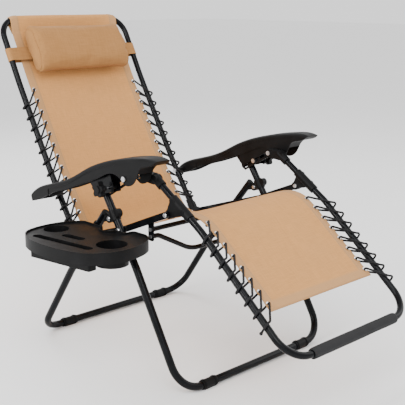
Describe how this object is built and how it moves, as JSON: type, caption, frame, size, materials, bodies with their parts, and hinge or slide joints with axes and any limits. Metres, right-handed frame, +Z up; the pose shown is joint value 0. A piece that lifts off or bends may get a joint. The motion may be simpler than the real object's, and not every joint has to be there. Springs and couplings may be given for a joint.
{
  "type": "reclining chair",
  "caption": "Folding zero gravity camp recliner: laced sling on a black tube frame with linked back, seat and legrest, armrests, headrest pillow and clip-on cup tray.",
  "frame": {"origin": "on the floor below the pivot of the seat rails, midway between the two sides", "axes": "+Z up, the sitter looks along -Y, +X is the sitter's left; the tray is on the sitter's right"},
  "size_m": [0.9015, 1.2771, 0.9901],
  "materials": {
    "black_powder_coat": "satin powder coat",
    "black_plastic": "fine grained",
    "bright_steel": "zinc plated",
    "eyelet_metal": "bright plated",
    "sling_fabric": "coated open weave",
    "pillow_fabric": "coated open weave over wadding",
    "black_foam": "closed cell foam",
    "elastic_cord": "braided cover"
  },
  "bodies": {
    "base": {"front_base_frame": "black_powder_coat", "front_foot_pads": "black_plastic", "rear_leg_brackets": "black_plastic", "rear_leg_rivets": "bright_steel", "lock_plates_left": "black_powder_coat", "lock_plates_right": "black_powder_coat", "leg_top_rivets": "bright_steel", "clamp_bolts": "bright_steel", "clamp_spacers": "black_plastic", "seat_pivot_spacers": "black_plastic", "seat_pivot_rivets": "bright_steel"},
    "rear_leg": {"rear_base_frame": "black_powder_coat", "rear_foot_pads": "black_plastic", "rear_leg_end_lugs": "black_plastic"},
    "seat": {"seat_rail_left": "black_powder_coat", "seat_rail_right": "black_powder_coat", "seat_cross_tube": "black_powder_coat", "seat_bowed_tube": "black_powder_coat", "cross_tube_brackets": "black_powder_coat", "cross_tube_bolts": "bright_steel", "sling_seat": "sling_fabric", "back_pivot_rivets": "bright_steel", "legrest_pivot_rivets": "bright_steel"},
    "back": {"back_frame": "black_powder_coat", "back_hinge_sleeves": "black_plastic", "sling_back": "sling_fabric", "sling_back_eyelets": "eyelet_metal", "back_lacing_left": "elastic_cord", "back_lacing_right": "elastic_cord", "armrest_pivot_bolts": "bright_steel", "armrest_bushes": "black_plastic"},
    "legrest": {"legrest_frame": "black_powder_coat", "legrest_hinge_sleeves": "black_plastic", "legrest_knuckles": "black_plastic", "knuckle_pins": "bright_steel", "foot_bar_sleeve": "black_foam", "sling_legrest": "sling_fabric", "sling_legrest_eyelets": "eyelet_metal", "legrest_lacing_left": "elastic_cord", "legrest_lacing_right": "elastic_cord"},
    "left_arm": {"armrest_left": "black_plastic", "armrest_track_left": "black_plastic"},
    "right_arm": {"armrest_right": "black_plastic", "armrest_track_right": "black_plastic"},
    "left_knob": {"lock_knob_left": "black_plastic"},
    "right_knob": {"lock_knob_right": "black_plastic"},
    "pillow": {"headrest_pillow": "pillow_fabric", "pillow_strap": "pillow_fabric"},
    "tray": {"side_tray": "black_plastic", "tray_clips": "black_plastic"}
  },
  "joints": [
    {"name": "recline", "type": "hinge", "parent": "base", "child": "seat", "pos_m": [0, 0, 0.421], "axis": [-1, 0, 0], "range_deg": [-11, 18]},
    {"name": "back_tilt", "type": "hinge", "parent": "seat", "child": "back", "pos_m": [0, 0.28, 0.33], "axis": [-1, 0, 0], "range_deg": [-6.1, 9.95]},
    {"name": "legrest_tilt", "type": "hinge", "parent": "seat", "child": "legrest", "pos_m": [0, -0.162, 0.489], "axis": [-1, 0, 0], "range_deg": [-8.3, 13.6]},
    {"name": "left_arm_tilt", "type": "hinge", "parent": "back", "child": "left_arm", "pos_m": [0, 0.3667, 0.462], "axis": [-1, 0, 0], "range_deg": [-11.25, 6.9]},
    {"name": "right_arm_tilt", "type": "hinge", "parent": "back", "child": "right_arm", "pos_m": [0, 0.3667, 0.462], "axis": [-1, 0, 0], "range_deg": [-11.25, 6.9]},
    {"name": "rear_leg_fold", "type": "hinge", "parent": "base", "child": "rear_leg", "pos_m": [0, 0.04381, 0.4462], "axis": [-1, 0, 0], "range_deg": [0, 70]},
    {"name": "left_lock_turn", "type": "hinge", "parent": "base", "child": "left_knob", "pos_m": [0.345, 0.034, 0.537], "axis": [1, 0, 0], "continuous": true},
    {"name": "right_lock_turn", "type": "hinge", "parent": "base", "child": "right_knob", "pos_m": [-0.345, 0.034, 0.537], "axis": [-1, 0, 0], "continuous": true},
    {"name": "pillow_height", "type": "slide", "parent": "back", "child": "pillow", "axis": [0, 0.4687, 0.8833], "range_m": [-0.045, 0.03]},
    {"name": "tray_lift", "type": "slide", "parent": "base", "child": "tray", "axis": [0, 0, 1], "range_m": [0, 0.03]}
  ],
  "couplings": [
    {"joint": "back_tilt", "follows": "recline", "ratio": 0.55},
    {"joint": "legrest_tilt", "follows": "recline", "ratio": 0.7512},
    {"joint": "left_arm_tilt", "follows": "recline", "ratio": -0.6207},
    {"joint": "right_arm_tilt", "follows": "recline", "ratio": -0.6207}
  ]
}
